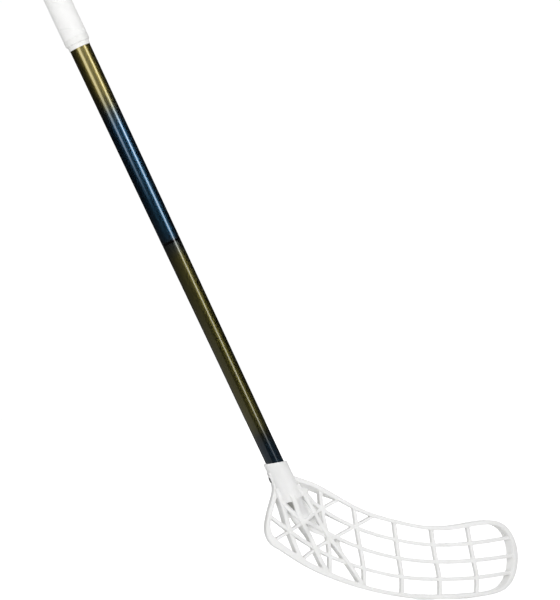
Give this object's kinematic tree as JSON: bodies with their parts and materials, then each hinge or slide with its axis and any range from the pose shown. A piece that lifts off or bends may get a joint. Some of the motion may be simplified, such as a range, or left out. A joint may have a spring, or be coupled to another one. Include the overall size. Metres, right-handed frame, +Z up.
{
  "type": "floorball stick",
  "caption": "Floorball stick: slim tapered tube shaft with a wrapped grip and butt cap, and a hooked lattice blade on a screwed socket, for passing and shooting a light ball.",
  "frame": {"origin": "middle of the bare grip band, on the axis of the shaft", "axes": "+Z up as the stick is shown in a side view, the shaft leaning 25.17 degrees towards -X at its butt; +X towards the toe of the blade, +Y to the side that the toe hooks to"},
  "size_m": [0.6255, 0.1205, 0.8812],
  "materials": {
    "shaft_lacquer": "clear-coated metallic lacquer on a laminate tube, olive gold running through deep blue to near black",
    "grip_band": "soft matt foam band, wound with a slight lap",
    "tape": "satin film tape",
    "cap_rubber": "matt moulded",
    "blade_plastic": "satin moulded plastic",
    "screw_steel": "blackened steel"
  },
  "bodies": {
    "root": {"shaft_tube": "shaft_lacquer", "grip_wrap": "grip_band", "finishing_tape": "tape", "butt_cap": "cap_rubber", "blade": "blade_plastic", "blade_screw": "screw_steel"}
  },
  "joints": []
}
